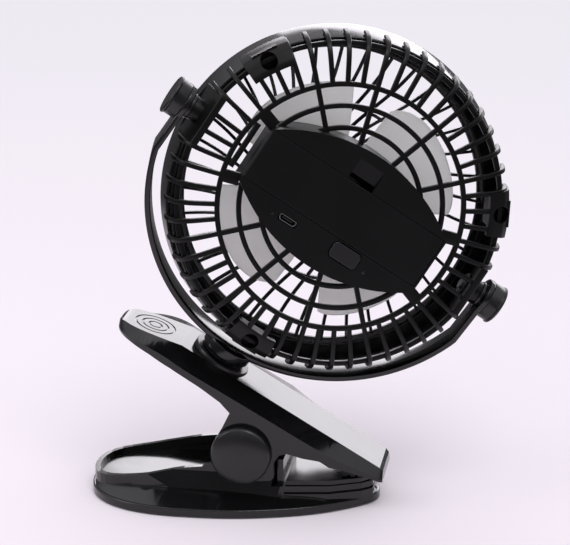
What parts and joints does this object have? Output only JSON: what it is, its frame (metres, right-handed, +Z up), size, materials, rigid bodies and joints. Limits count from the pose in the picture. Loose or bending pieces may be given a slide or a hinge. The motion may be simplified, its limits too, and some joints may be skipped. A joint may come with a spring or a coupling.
{
  "type": "clip fan",
  "caption": "Rechargeable clip fan: caged impeller head tilting in a C-shaped yoke, on a swivel over a spring clip.",
  "frame": {"origin": "on the floor plane, under the middle of the clip's base plate", "axes": "+Z up, +X towards the jaw tips, Y along the hinge pin, the back of the head faces -Y"},
  "size_m": [0.1711, 0.07, 0.1946],
  "materials": {
    "clip_plastic": "gloss",
    "head_plastic": "satin",
    "front_plastic": "gloss",
    "blade_plastic": "satin",
    "button_plastic": "satin",
    "rubber": "matte",
    "steel": "brushed",
    "spring_steel": "bright",
    "dark_screw": "black",
    "usb_metal": "bright",
    "board": "matte",
    "cell_wrap": "gloss",
    "lens": "gloss",
    "inner_plastic": "matte",
    "collar_plastic": "satin"
  },
  "bodies": {
    "base": {"clip_base": "clip_plastic", "foot_pad": "rubber", "lower_jaw_pad": "rubber", "hinge_pin": "steel", "hinge_caps": "clip_plastic", "torsion_spring": "spring_steel"},
    "lever": {"clip_lever": "clip_plastic", "upper_jaw_pad": "rubber", "swivel_collar": "collar_plastic", "swivel_screw": "dark_screw"},
    "yoke": {"yoke": "clip_plastic", "tilt_knobs": "collar_plastic"},
    "head": {"rear_case": "head_plastic", "front_grille": "front_plastic", "front_cap": "front_plastic", "grille_screws": "dark_screw", "pivot_axles": "steel", "tilt_washers": "collar_plastic", "motor_cover": "inner_plastic", "cover_screws": "steel", "motor_can": "steel", "battery_cell": "cell_wrap", "cell_contacts": "spring_steel", "cell_cradle": "inner_plastic", "circuit_board": "board", "usb_socket": "usb_metal", "tact_switch": "inner_plastic", "indicator_lights": "lens"},
    "impeller": {"impeller": "blade_plastic", "motor_shaft": "steel"},
    "button": {"power_button": "button_plastic"},
    "door": {"battery_door": "head_plastic"}
  },
  "joints": [
    {"name": "clip_hinge", "type": "hinge", "parent": "base", "child": "lever", "pos_m": [0.0072, 0, 0.025], "axis": [0, -1, 0], "range_deg": [0, 30], "stiffness_Nm_per_rad": 0.7, "springref_deg": -34.38},
    {"name": "swivel_turn", "type": "hinge", "parent": "lever", "child": "yoke", "pos_m": [0.0422, 0, 0.1258], "axis": [0.5736, 0, 0.8192], "continuous": true},
    {"name": "head_tilt", "type": "hinge", "parent": "yoke", "child": "head", "pos_m": [0.0422, 0, 0.1258], "axis": [0.8062, 0.1771, -0.5645], "continuous": true},
    {"name": "impeller_spin", "type": "hinge", "parent": "head", "child": "impeller", "pos_m": [0.0422, 0, 0.1258], "axis": [-0.2611, 0.9627, -0.071], "continuous": true},
    {"name": "button_press", "type": "slide", "parent": "head", "child": "button", "axis": [-0.2611, 0.9627, -0.071], "range_m": [0, 0.0008], "stiffness_N_per_m": 1200, "springref_m": -0.0005},
    {"name": "battery_door_lift", "type": "slide", "parent": "head", "child": "door", "axis": [0.2611, -0.9627, 0.071], "range_m": [0, 0.025]}
  ]
}
